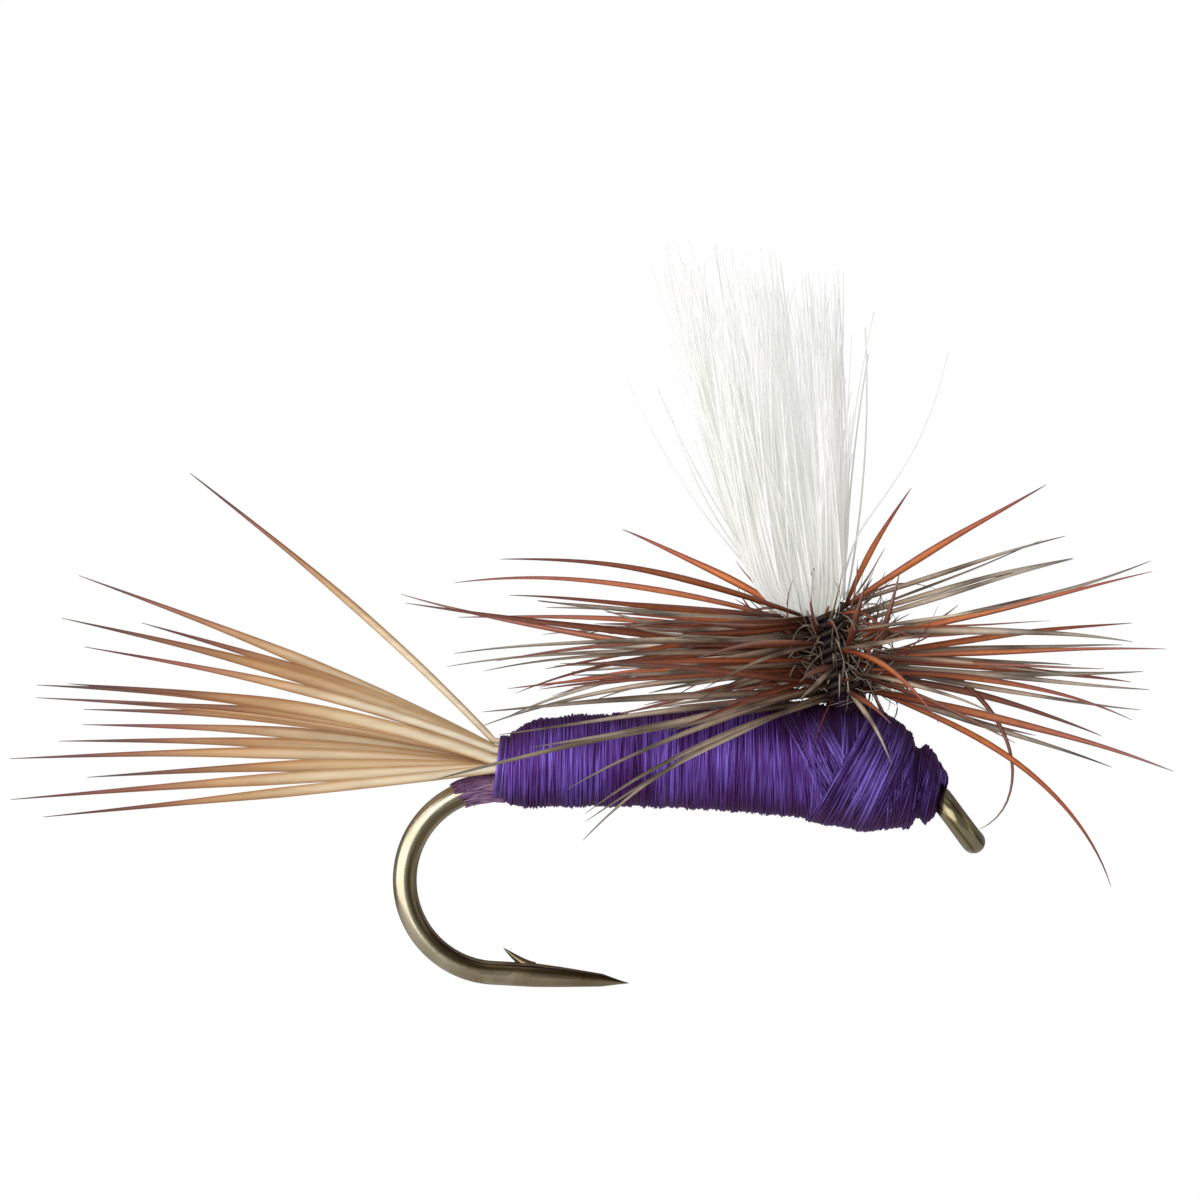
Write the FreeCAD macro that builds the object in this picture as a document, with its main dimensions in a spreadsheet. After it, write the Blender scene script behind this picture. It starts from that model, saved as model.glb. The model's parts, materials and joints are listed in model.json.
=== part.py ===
import FreeCAD, Part

import math
import os

# A dry fly, in millimetres.
# The origin is the centre of the hook's eye, +X runs forward along the shank and +Z is up.

Vector = FreeCAD.Vector
X_AXIS = Vector(1, 0, 0)
Y_AXIS = Vector(0, 1, 0)
Z_AXIS = Vector(0, 0, 1)

DIMENSIONS = (
    # hook
    ("wire_diameter", "0.48"),
    ("eye_wire_diameter", "0.46"),
    ("eye_ring_diameter", "1.10"),
    ("eye_hole_diameter", "0.68"),
    ("eye_down_angle", "51.2"),
    ("bend_start_x", "-9.155"),
    ("bend_radius", "1.86"),
    ("point_arm_splay", "1.75"),
    ("point_arm_length", "2.73"),
    ("point_taper_length", "1.90"),
    ("point_shoulder_length", "0.55"),
    ("point_shoulder_diameter", "0.27"),
    ("point_tip_diameter", "0.03"),
    ("barb_cut_from_point", "2.18"),
    ("barb_cut_length", "0.36"),
    ("barb_cut_height", "0.30"),
    ("barb_cut_width", "0.14"),
    # thread laid on the bare shank, and the tag of it that runs into the bend
    ("thread_layer", "0.03"),
    ("thread_front_x", "-0.80"),
    ("thread_tag_angle", "27"),
    # tail: a stack of stiff fibres bound on top of the shank
    ("tail_fibre_diameter", "0.20"),
    ("tail_tip_diameter", "0.04"),
    ("tail_root_x", "-9.30"),
    ("tail_butt_length", "1.30"),
    ("tail_fibre_pitch", "0.21"),
    ("tail_row_rise", "0.182"),
    ("tail_bottom_row_z", "0.81"),
    ("tail_side_splay", "18"),
    ("tail_length_swing", "0.9"),
    ("tail_length_turn", "137.5"),
    ("tail_bundle_z", "0.83"),
    ("tail_bundle_half_width", "0.70"),
    ("tail_bundle_half_height", "0.63"),
    ("binding_setback", "0.03"),
    ("binding_length", "0.22"),
    ("binding_wall", "0.05"),
    # raised band of the whip finish
    ("whip_rear_x", "-0.92"),
    ("whip_length", "0.20"),
    ("whip_height", "1.80"),
    ("whip_width", "1.88"),
    ("whip_wall", "0.25"),
    ("whip_z", "0.71"),
    # wing: one clump of hair, bound along the shank, then turned up as a post
    ("post_diameter", "0.72"),
    ("wing_knee_diameter", "0.74"),
    ("post_foot_x", "-1.91"),
    ("post_foot_z", "1.10"),
    ("post_lean", "16.6"),
    ("post_height", "3.25"),
    ("wing_butt_length", "2.40"),
    ("hair_count", "72"),
    ("hair_root_gap", "0.004"),
    ("hair_diameter", "0.058"),
    ("hair_tip_diameter", "0.024"),
    ("hair_length", "6.9"),
    ("hair_length_spread", "0.6"),
    ("hair_length_steps", "4"),
    ("wing_lean", "11.4"),
    ("wing_fan", "12.7"),
    ("wing_side_fan", "10"),
    # thread wraps on the post, then the two feathers wound over them
    ("post_wrap_layer", "0.04"),
    ("post_wrap_start", "1.00"),
    ("quill_diameter", "0.14"),
    ("quill_pitch", "0.34"),
    ("quill_first_turn", "1.42"),
    ("turns", "5"),
    ("barbs_per_turn", "9"),
    ("barb_spacing_in_turns", "0.1085"),
    ("barb_diameter", "0.11"),
    ("barb_tip_diameter", "0.02"),
    ("barb_root_gap", "0.006"),
    ("barb_length_front", "6.6"),
    ("barb_length_back", "8.8"),
    ("lowest_front_barb", "-14"),
    ("highest_front_barb", "26"),
    ("lowest_back_barb", "1"),
    ("highest_back_barb", "4"),
)

# The wound body's profile: name, position along the shank, top, bottom and width.
STATIONS = (
    ("body_rear", "-9.05", "1.51", "0.04", "1.76"),
    ("body_heel", "-8.70", "1.69", "0.05", "1.92"),
    ("body_waist", "-6.80", "1.94", "0.12", "2.02"),
    ("body_middle", "-5.00", "2.10", "0.10", "2.14"),
    ("body_front", "-2.90", "2.21", "-0.02", "2.34"),
    ("thorax_crown", "-2.00", "2.20", "-0.22", "2.52"),
    ("thorax_brow", "-1.45", "2.03", "-0.20", "2.32"),
    ("head_rear", "-1.00", "1.68", "-0.14", "1.90"),
    ("head_cheek", "-0.75", "1.55", "-0.12", "1.74"),
    ("head_nose", "-0.45", "1.25", "0.07", "1.24"),
    ("head_tip", "-0.24", "0.92", "0.38", "0.56"),
)

# Rows of tail fibres, from the bottom of the bundle up: name, how many, lowest and highest
# rise in degrees, and free length.
TAIL_ROWS = (
    ("tail_bottom", "6", "-7", "4", "9.0"),
    ("tail_middle", "5", "5", "9", "8.6"),
    ("tail_upper", "4", "13", "21", "8.4"),
    ("tail_single", "1", "40", "40", "8.1"),
)

doc = FreeCAD.newDocument("dry_fly")
sheet = doc.addObject("Spreadsheet::Sheet", "Sizes")
sheet.Label = "Sizes"

rows = list(DIMENSIONS)
for station, along, top, bottom, width in STATIONS:
    rows.append((station + "_x", along))
    rows.append((station + "_top", top))
    rows.append((station + "_bottom", bottom))
    rows.append((station + "_width", width))
for level, count, low, high, length in TAIL_ROWS:
    rows.append((level + "_count", count))
    rows.append((level + "_low_rise", low))
    rows.append((level + "_high_rise", high))
    rows.append((level + "_length", length))
for row, (alias, text) in enumerate(rows, 1):
    sheet.set("A%d" % row, alias)
    sheet.set("B%d" % row, text)
    sheet.setAlias("B%d" % row, alias)
doc.recompute()


def size(alias):
    """The value of one driving dimension."""
    return float(sheet.get(alias))


def cell(alias, rest=""):
    """An expression that reads one driving dimension."""
    return "Sizes." + alias + rest


def tilted(degrees):
    """A direction in the fly's middle plane, measured up from +X."""
    angle = math.radians(degrees)
    return Vector(math.cos(angle), 0, math.sin(angle))


def aim(start, direction):
    """A placement whose own Z axis points along a direction."""
    return FreeCAD.Placement(start, FreeCAD.Rotation(Z_AXIS, direction))


def make(kind, name, placement=None, **bindings):
    """One object, with its sizes bound to the sheet."""
    thing = doc.addObject(kind, name)
    for target, expression in bindings.items():
        thing.setExpression(target, expression)
    if placement is not None:
        thing.Placement = placement
    return thing


def fuse(name, shapes):
    thing = doc.addObject("Part::MultiFuse", name)
    thing.Shapes = shapes
    return thing


def cut(name, base, tool):
    thing = doc.addObject("Part::Cut", name)
    thing.Base = base
    thing.Tool = tool
    return thing


def gather(name, links):
    thing = doc.addObject("Part::Compound", name)
    thing.Links = links
    return thing


def ring(name, centre, facing, radius):
    """A circle across a direction; its radius is an expression."""
    return make("Part::Circle", name, aim(centre, facing), Radius=radius)


def tapered(name, rings):
    """A straight-sided solid through circles, thickest to thinnest."""
    thing = doc.addObject("Part::Loft", name)
    thing.Sections = rings
    thing.Solid = True
    thing.Ruled = True
    return thing


nodes = []


def node(thing, label):
    """Marks an object as one named piece of the fly."""
    thing.Label = label
    nodes.append(thing)
    return thing

# ---------------------------------------------------------------- hook

BAR = tilted(-size("eye_down_angle"))
EYE_AXIS = tilted(-90 - size("eye_down_angle"))
EYE_TOP = BAR * (-size("eye_ring_diameter") / 2)
SHANK_Z = EYE_TOP.z
BEND_CENTRE = Vector(size("bend_start_x"), 0, SHANK_Z - size("bend_radius"))
ROUND_BEND = FreeCAD.Rotation(Z_AXIS, X_AXIS * -1, Y_AXIS * -1, "ZXY")
ARM = tilted(-size("point_arm_splay"))
ARM_NORMAL = tilted(90 - size("point_arm_splay"))
ARM_START = BEND_CENTRE - ARM_NORMAL * size("bend_radius")
POINT_TAPER = ARM_START + ARM * (size("point_arm_length") - size("point_taper_length"))
POINT_SHOULDER = ARM_START + ARM * (size("point_arm_length") - size("point_shoulder_length"))


def shank_rod(name, diameter, front_x):
    """A rod on the shank's axis, from the start of the bend forward."""
    return make(
        "Part::Cylinder",
        name,
        aim(Vector(size("bend_start_x"), 0, SHANK_Z), X_AXIS),
        Radius="(" + diameter + ") / 2",
        Height=front_x + " - Sizes.bend_start_x",
    )


def bend_rod(name, diameter, angle):
    """A rod that follows the round bend from the end of the shank."""
    return make(
        "Part::Torus",
        name,
        FreeCAD.Placement(BEND_CENTRE, ROUND_BEND),
        Radius1=cell("bend_radius"),
        Radius2="(" + diameter + ") / 2",
        Angle3=angle,
    )


def barb_blade():
    """The sliver raised from the wire by the barb cut, pointing back at the bend."""
    heel = ARM_START + ARM * (size("point_arm_length") - size("barb_cut_from_point"))
    surface = heel + ARM_NORMAL * (size("wire_diameter") / 2)
    foot = heel + ARM_NORMAL * (size("wire_diameter") / 4)
    corners = [
        foot - ARM * (size("barb_cut_length") / 4),
        foot + ARM * size("barb_cut_length"),
        surface + ARM * size("barb_cut_length"),
        surface - ARM * size("barb_cut_length") + ARM_NORMAL * size("barb_cut_height"),
    ]
    half = Y_AXIS * (size("barb_cut_width") / 2)
    outline = Part.makePolygon([corner - half for corner in corners + corners[:1]])
    profile = doc.addObject("Part::Feature", "barb_profile")
    profile.Shape = Part.Face(outline)
    blade = doc.addObject("Part::Extrusion", "barb_blade")
    blade.Base = profile
    blade.Dir = Y_AXIS
    blade.Solid = True
    blade.setExpression("LengthFwd", cell("barb_cut_width"))
    return blade


eye_ring = make(
    "Part::Torus",
    "eye_ring",
    aim(Vector(), EYE_AXIS),
    Radius1=cell("eye_ring_diameter", " / 2"),
    Radius2=cell("eye_wire_diameter", " / 2"),
)
shank_wire = shank_rod("shank_wire", cell("wire_diameter"), repr(EYE_TOP.x))
bend_wire = bend_rod("bend_wire", cell("wire_diameter"), "180 - Sizes.point_arm_splay")
arm_wire = make(
    "Part::Cylinder",
    "arm_wire",
    aim(ARM_START, ARM),
    Radius=cell("wire_diameter", " / 2"),
    Height="Sizes.point_arm_length - Sizes.point_taper_length",
)
point_body = make(
    "Part::Cone",
    "point_body",
    aim(POINT_TAPER, ARM),
    Radius1=cell("wire_diameter", " / 2"),
    Radius2=cell("point_shoulder_diameter", " / 2"),
    Height="Sizes.point_taper_length - Sizes.point_shoulder_length",
)
point_tip = make(
    "Part::Cone",
    "point_tip",
    aim(POINT_SHOULDER, ARM),
    Radius1=cell("point_shoulder_diameter", " / 2"),
    Radius2=cell("point_tip_diameter", " / 2"),
    Height=cell("point_shoulder_length"),
)
hook_blank = fuse(
    "hook_blank",
    [eye_ring, shank_wire, bend_wire, arm_wire, point_body, point_tip, barb_blade()],
)
eye_hole = make(
    "Part::Cylinder",
    "eye_hole",
    aim(EYE_AXIS * (-size("eye_wire_diameter")), EYE_AXIS),
    Radius=cell("eye_hole_diameter", " / 2"),
    Height=cell("eye_wire_diameter", " * 2"),
)
node(cut("hook_wire", hook_blank, eye_hole), "hook")

# ---------------------------------------------------------------- thread on the shank

THREAD_OUTSIDE = "Sizes.wire_diameter + 2 * Sizes.thread_layer"
thread_rod = shank_rod("thread_rod", THREAD_OUTSIDE, cell("thread_front_x"))
thread_tag = bend_rod("thread_tag", THREAD_OUTSIDE, cell("thread_tag_angle"))
thread_solid = fuse("thread_solid", [thread_rod, thread_tag])
node(cut("thread_sleeve", thread_solid, hook_blank), "thread_base")

# ---------------------------------------------------------------- tail


def tail_fibre(name, sideways, height, upward, length):
    """One stiff fibre: a butt laid along the shank, a knee, and the free tapered fibre."""
    knee_point = Vector(size("tail_root_x"), sideways, height)
    splay = math.radians(sideways * size("tail_side_splay"))
    rise = math.radians(upward)
    backward = Vector(
        -math.cos(rise) * math.cos(splay),
        math.cos(rise) * math.sin(splay),
        math.sin(rise),
    )
    width = cell("tail_fibre_diameter", " / 2")
    point = cell("tail_tip_diameter", " / 2")
    butt_end = knee_point + X_AXIS * size("tail_butt_length")
    rings = [
        ring(name + "_butt", butt_end, X_AXIS * -1, width),
        ring(name + "_knee", knee_point, backward - X_AXIS, width),
        ring(name + "_tip", knee_point + backward * length, backward, point),
    ]
    return tapered(name + "_shape", rings)


fibre_number = 0
for row, level in enumerate(tail_row[0] for tail_row in TAIL_ROWS):
    height = size("tail_bottom_row_z") + row * size("tail_row_rise")
    count = int(size(level + "_count"))
    fan = size(level + "_high_rise") - size(level + "_low_rise")
    for place in range(count):
        sideways = (place - (count - 1) / 2) * size("tail_fibre_pitch")
        share = place / max(count - 1, 1)
        if row % 2:
            share = 1 - share
        upward = size(level + "_low_rise") + fan * share
        swing = math.sin(math.radians(place * size("tail_length_turn")))
        length = size(level + "_length") + size("tail_length_swing") * swing
        fibre_number += 1
        label = "tail_fibre_%02d" % fibre_number
        node(tail_fibre("f" + label, sideways, height, upward, length), label)


def oval(name, along, middle_z, half_width, half_height):
    """An upright oval across the shank; every argument is an expression."""
    ring = make(
        "Part::Ellipse",
        name,
        FreeCAD.Placement(Vector(), FreeCAD.Rotation(Y_AXIS, Z_AXIS, X_AXIS, "ZXY")),
        MajorRadius=half_width,
        MinorRadius=half_height,
    )
    ring.setExpression("Placement.Base.x", along)
    ring.setExpression("Placement.Base.z", middle_z)
    return ring


def oval_bar(name, along, length, middle_z, half_width, half_height):
    """A straight bar of oval section lying along the shank."""
    bar = doc.addObject("Part::Extrusion", name)
    bar.Base = oval(name + "_section", along, middle_z, half_width, half_height)
    bar.Dir = X_AXIS
    bar.Solid = True
    bar.setExpression("LengthFwd", length)
    return bar


binding_outside = oval_bar(
    "binding_outside",
    "Sizes.tail_root_x + Sizes.binding_setback",
    cell("binding_length"),
    cell("tail_bundle_z"),
    "Sizes.tail_bundle_half_width + Sizes.binding_wall",
    "Sizes.tail_bundle_half_height + Sizes.binding_wall",
)
tail_room = oval_bar(
    "tail_room",
    cell("tail_root_x"),
    cell("tail_butt_length"),
    cell("tail_bundle_z"),
    cell("tail_bundle_half_width"),
    cell("tail_bundle_half_height"),
)
binding_inside = fuse("binding_inside", [tail_room, thread_solid])
node(cut("binding_ring", binding_outside, binding_inside), "tail_binding")

# ---------------------------------------------------------------- wing

POST = tilted(90 + size("post_lean"))
POST_SIDE = tilted(size("post_lean"))
POST_FOOT = Vector(size("post_foot_x"), 0, size("post_foot_z"))
POST_TOP = POST_FOOT + POST * size("post_height")

wing_butts = make(
    "Part::Cylinder",
    "wing_butts",
    aim(POST_FOOT, X_AXIS * -1),
    Radius=cell("post_diameter", " / 2"),
    Height=cell("wing_butt_length"),
)
wing_knee = make(
    "Part::Sphere", "wing_knee", aim(POST_FOOT, Y_AXIS), Radius=cell("wing_knee_diameter", " / 2")
)
wing_stand = make(
    "Part::Cylinder",
    "wing_stand",
    aim(POST_FOOT, POST),
    Radius=cell("post_diameter", " / 2"),
    Height=cell("post_height"),
)
node(fuse("wing_bundle", [wing_butts, wing_knee, wing_stand]), "wing_post")


def wing_hairs():
    """Free hairs spread over the top of the post, each leaning out by where it stands."""
    hairs = []
    count = int(size("hair_count"))
    rim = (size("post_diameter") - size("hair_diameter")) / 2
    golden_turn = math.pi * (3 - math.sqrt(5))
    for index in range(count):
        reach = math.sqrt((index + 0.5) / count)
        spin = index * golden_turn
        forward = reach * math.cos(spin)
        sideways = reach * math.sin(spin)
        seat = POST_TOP + POST * size("hair_root_gap")
        root = seat + POST_SIDE * (rim * forward) + Y_AXIS * (rim * sideways)
        lean = size("wing_lean") - size("wing_fan") * forward
        side_lean = math.radians(size("wing_side_fan") * sideways)
        direction = tilted(90 + lean) * math.cos(side_lean) + Y_AXIS * math.sin(side_lean)
        shortening = index % size("hair_length_steps") / size("hair_length_steps")
        length = size("hair_length") - shortening * size("hair_length_spread")
        name = "hair_%02d" % (index + 1)
        rings = [
            ring(name + "_root", root, POST, cell("hair_diameter", " / 2")),
            ring(name + "_end", root + direction * length, direction, cell("hair_tip_diameter", " / 2")),
        ]
        hairs.append(tapered(name, rings))
    return hairs


node(gather("wing_hair_clump", wing_hairs()), "wing_hair")

# ---------------------------------------------------------------- wound body


def wound_body(name, stations):
    """A smooth solid through the oval sections of the named stations."""
    body = doc.addObject("Part::Loft", name)
    body.Sections = [
        oval(
            name + "_" + station,
            cell(station + "_x"),
            "(Sizes.%s_top + Sizes.%s_bottom) / 2" % (station, station),
            cell(station + "_width", " / 2"),
            "(Sizes.%s_top - Sizes.%s_bottom) / 2" % (station, station),
        )
        for station in stations
    ]
    body.Solid = True
    return body


NAMES = [station[0] for station in STATIONS]
ABDOMEN = NAMES[: NAMES.index("body_front") + 1]
THORAX = NAMES[NAMES.index("body_front") : NAMES.index("head_rear") + 1]
HEAD = NAMES[NAMES.index("head_rear") :]

wrap_tube = make(
    "Part::Cylinder",
    "wrap_tube",
    aim(POST_FOOT + POST * size("post_wrap_start"), POST),
    Radius="Sizes.post_diameter / 2 + Sizes.post_wrap_layer",
    Height="Sizes.post_height - Sizes.post_wrap_start",
)
node(cut("wrap_sleeve", wrap_tube, wing_stand), "post_wraps")

whip_band = oval_bar(
    "whip_band",
    cell("whip_rear_x"),
    cell("whip_length"),
    cell("whip_z"),
    cell("whip_width", " / 2"),
    cell("whip_height", " / 2"),
)
whip_seat = oval_bar(
    "whip_seat",
    cell("whip_rear_x"),
    cell("whip_length"),
    cell("whip_z"),
    cell("whip_width", " / 2 - Sizes.whip_wall"),
    cell("whip_height", " / 2 - Sizes.whip_wall"),
)
whip_ring = node(cut("whip_ring", whip_band, whip_seat), "whip_finish")

wound_core = fuse("wound_core", [thread_rod, wing_butts, wing_knee, wing_stand])
abdomen_core = fuse("abdomen_core", [tail_room, wound_core])
thorax_core = fuse("thorax_core", [wound_core, wrap_tube])
head_core = fuse("head_core", [thread_rod, hook_blank, whip_ring])

abdomen_solid = wound_body("abdomen_solid", ABDOMEN)
thorax_solid = wound_body("thorax_solid", THORAX)
head_solid = wound_body("head_solid", HEAD)
node(cut("abdomen_shell", abdomen_solid, abdomen_core), "abdomen_floss")
node(cut("thorax_shell", thorax_solid, thorax_core), "thorax_thread")
node(cut("head_shell", head_solid, head_core), "head_thread")

# ---------------------------------------------------------------- hackle

QUILL_RADIUS = size("quill_diameter") / 2
WINDING_RADIUS = size("post_diameter") / 2 + size("post_wrap_layer") + QUILL_RADIUS


def quill(name, phase):
    """A feather's stem wound up the post; phase is its start round the post in degrees."""
    spine = make(
        "Part::Helix",
        name + "_path",
        Pitch=cell("quill_pitch"),
        Height="Sizes.quill_pitch * Sizes.turns",
        Radius=repr(WINDING_RADIUS),
    )
    spine.SegmentLength = 1
    doc.recompute()
    climb = math.atan2(size("quill_pitch"), 2 * math.pi * WINDING_RADIUS)
    section = make(
        "Part::Circle",
        name + "_section",
        aim(Vector(WINDING_RADIUS, 0, 0), Vector(0, math.cos(climb), math.sin(climb))),
        Radius=cell("quill_diameter", " / 2"),
    )
    stem = doc.addObject("Part::Sweep", name)
    stem.Sections = [section]
    stem.Spine = (spine, ["Edge%d" % (turn + 1) for turn in range(len(spine.Shape.Edges))])
    stem.Solid = True
    stem.Frenet = True
    base = POST_FOOT + POST * size("quill_first_turn")
    upright = FreeCAD.Rotation(POST_SIDE, Y_AXIS, POST, "ZXY")
    stem.Placement = FreeCAD.Placement(base, upright * FreeCAD.Rotation(Z_AXIS, phase))
    return stem


def blend(start, end, share):
    return start * (1 - share) + end * share


def barb(name, phase, turns_up):
    """One barb, growing straight out from the quill at a place turns_up along it."""
    spin = math.radians(phase + 360 * turns_up)
    outward = POST_SIDE * math.cos(spin) + Y_AXIS * math.sin(spin)
    climb = size("quill_first_turn") + size("quill_pitch") * turns_up
    reach = WINDING_RADIUS + QUILL_RADIUS + size("barb_root_gap")
    root = POST_FOOT + POST * climb + outward * reach
    share = turns_up / size("turns")
    front = (1 + math.cos(spin)) / 2
    lowest = blend(size("lowest_back_barb"), size("lowest_front_barb"), front)
    highest = blend(size("highest_back_barb"), size("highest_front_barb"), front)
    rise = math.radians(blend(lowest, highest, share))
    level = Vector(math.cos(spin), math.sin(spin), 0)
    direction = level * math.cos(rise) + Z_AXIS * math.sin(rise)
    length = blend(size("barb_length_back"), size("barb_length_front"), front)
    rings = [
        ring(name + "_root", root, outward, cell("barb_diameter", " / 2")),
        ring(name + "_end", root + direction * length, direction, cell("barb_tip_diameter", " / 2")),
    ]
    return tapered(name, rings)


per_turn = int(size("barbs_per_turn"))
for feather, phase in (("brown", 0), ("grizzly", 180)):
    node(quill(feather + "_quill", phase), feather + "_hackle_stem")
    for turn in range(int(size("turns"))):
        label = "%s_barbs_turn_%d" % (feather, turn + 1)
        barbs = [
            barb(
                "%s_%d" % (label, place + 1),
                phase,
                (turn * per_turn + place + 0.5) * size("barb_spacing_in_turns"),
            )
            for place in range(per_turn)
        ]
        node(gather(label + "_group", barbs), label)

# ---------------------------------------------------------------- check and write

doc.recompute()
for thing in doc.Objects:
    if "Invalid" in thing.State or "Error" in thing.State:
        raise RuntimeError(thing.Name + " did not build: " + str(thing.State))
for thing in nodes:
    if thing.Shape.isNull() or not thing.Shape.isValid():
        raise RuntimeError(thing.Label + " has no valid shape")
os.makedirs("parts", exist_ok=True)
for thing in nodes:
    thing.Shape.exportStep("parts/" + thing.Label + ".step")
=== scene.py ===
import json
import math

import bpy
import numpy as np
from mathutils import Matrix, Vector
from mathutils.bvhtree import BVHTree


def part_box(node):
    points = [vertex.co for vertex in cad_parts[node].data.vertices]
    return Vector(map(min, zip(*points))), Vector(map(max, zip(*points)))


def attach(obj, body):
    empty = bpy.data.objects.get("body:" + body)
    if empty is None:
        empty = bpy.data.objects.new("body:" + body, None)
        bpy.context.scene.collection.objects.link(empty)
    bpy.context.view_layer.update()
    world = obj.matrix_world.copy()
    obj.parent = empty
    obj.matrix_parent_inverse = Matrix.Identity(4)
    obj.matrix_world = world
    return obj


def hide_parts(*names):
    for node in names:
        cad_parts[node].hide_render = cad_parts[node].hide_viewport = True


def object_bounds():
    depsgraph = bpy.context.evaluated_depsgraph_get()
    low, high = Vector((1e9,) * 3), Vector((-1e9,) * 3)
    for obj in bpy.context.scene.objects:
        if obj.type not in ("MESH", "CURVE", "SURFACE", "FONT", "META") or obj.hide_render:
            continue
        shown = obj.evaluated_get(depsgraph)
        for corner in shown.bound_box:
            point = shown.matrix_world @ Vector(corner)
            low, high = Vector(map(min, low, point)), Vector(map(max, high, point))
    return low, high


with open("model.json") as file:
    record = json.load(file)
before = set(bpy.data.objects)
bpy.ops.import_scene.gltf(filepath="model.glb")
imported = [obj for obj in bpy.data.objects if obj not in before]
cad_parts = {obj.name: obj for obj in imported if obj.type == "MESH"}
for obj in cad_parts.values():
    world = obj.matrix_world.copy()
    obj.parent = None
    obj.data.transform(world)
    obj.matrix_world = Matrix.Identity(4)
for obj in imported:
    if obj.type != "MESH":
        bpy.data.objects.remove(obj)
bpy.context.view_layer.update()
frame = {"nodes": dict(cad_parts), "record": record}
mounts = {mount["name"]: mount for mount in frame["record"]["mounts"]}
rng = np.random.default_rng(16)
MM = 0.001
TURN = 2 * math.pi
ANY_PHASE = (0, 6.28)


def corners(node):
    """A CAD node's lowest and highest corners, in millimetres."""
    low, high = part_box(node)
    return np.array(low) / MM, np.array(high) / MM


def unit(v):
    v = np.asarray(v, float)
    return v / np.maximum(np.linalg.norm(v, axis=-1, keepdims=True), 1e-12)


def srgb(r, g, b):
    """A display colour, 0 to 255, as the linear colour a shader wants."""
    out = []
    for c in (r, g, b):
        c /= 255
        out.append(c / 12.92 if c <= 0.04045 else ((c + 0.055) / 1.055) ** 2.4)
    return (*out, 1.0)


# ------------------------------------------------------------------ meshes

def make_mesh(name, verts, faces, smooth=True, **attributes):
    mesh = bpy.data.meshes.new(name)
    mesh.from_pydata([], [], [])
    verts = np.asarray(verts, float).reshape(-1, 3) * MM
    mesh.vertices.add(len(verts))
    mesh.vertices.foreach_set("co", verts.ravel())
    sizes = np.concatenate([np.full(len(f), f.shape[1]) for f in faces])
    loops = np.concatenate([f.ravel() for f in faces])
    mesh.loops.add(len(loops))
    mesh.loops.foreach_set("vertex_index", loops)
    mesh.polygons.add(len(sizes))
    mesh.polygons.foreach_set("loop_start", np.concatenate([[0], np.cumsum(sizes)[:-1]]))
    mesh.polygons.foreach_set("loop_total", sizes)
    mesh.polygons.foreach_set("use_smooth", np.full(len(sizes), smooth))
    mesh.update(calc_edges=True)
    for key, values in attributes.items():
        layer = mesh.attributes.new(key, "FLOAT", "POINT")
        layer.data.foreach_set("value", np.asarray(values, float).ravel())
    mesh.validate()
    thing = bpy.data.objects.new(name, mesh)
    bpy.context.scene.collection.objects.link(thing)
    return thing


def sweep(name, paths, radii, sides=6, flat=1.0, facing=(0.0, 0.0, 1.0), twist=0.0, closed=False,
          **attributes):
    """Many tubes in one mesh. paths is (tubes, points, 3), radii is (tubes, points).

    Each tube is flattened by flat. rim is 1 along its two narrow edges and 0 on its broad faces;
    inner runs from 0 along one narrow edge to 1 along the other.
    """
    paths = np.asarray(paths, float)
    n, k, _ = paths.shape
    radii = np.broadcast_to(np.asarray(radii, float), (n, k))
    if closed:
        tangent = unit(np.roll(paths, -1, 1) - np.roll(paths, 1, 1))
    else:
        tangent = unit(np.gradient(paths, axis=1))
    facing = np.broadcast_to(np.asarray(facing, float), paths.shape)
    side = unit(np.cross(tangent, facing))
    up = np.cross(side, tangent)
    spin = np.arange(sides) * TURN / sides
    twist = np.broadcast_to(np.asarray(twist, float).reshape(-1, 1, 1), (n, 1, 1))
    flat = np.broadcast_to(np.asarray(flat, float).reshape(-1, 1, 1), (n, 1, 1))
    cos, sin = np.cos(spin)[None, None, :], np.sin(spin)[None, None, :] * flat
    across = (cos * np.cos(twist) - sin * np.sin(twist)) * radii[..., None]
    above = (cos * np.sin(twist) + sin * np.cos(twist)) * radii[..., None]
    verts = paths[:, :, None, :] + across[..., None] * side[:, :, None, :]
    verts = verts + above[..., None] * up[:, :, None, :]
    index = np.arange(n * k * sides).reshape(n, k, sides)
    if closed:
        here, there = index, np.roll(index, -1, 1)
    else:
        here, there = index[:, :-1], index[:, 1:]
    faces = [np.stack([here, np.roll(here, -1, 2), np.roll(there, -1, 2), there], -1).reshape(-1, 4)]
    if not closed:
        faces += [index[:, 0, ::-1], index[:, -1]]
    spread = {
        "rim": np.broadcast_to(np.cos(spin) ** 2, (n, k, sides)),
        "inner": np.broadcast_to(0.5 + 0.5 * np.cos(spin), (n, k, sides)),
    }
    for key, values in attributes.items():
        values = np.asarray(values, float)
        if values.ndim == 1:
            values = values[:, None]
        spread[key] = np.repeat(np.broadcast_to(values, (n, k))[..., None], sides, 2)
    return make_mesh(name, verts, faces, **spread)


def along_for(n, k):
    """How far along each of n tubes its k points are, 0 to 1."""
    return np.broadcast_to(np.linspace(0, 1, k), (n, k))


def join(name, things):
    """Joins meshes into the first, keeping attributes and materials."""
    with bpy.context.temp_override(active_object=things[0], selected_editable_objects=things):
        bpy.ops.object.join()
    things[0].name = name
    return things[0]


# ------------------------------------------------------------------ materials

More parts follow.
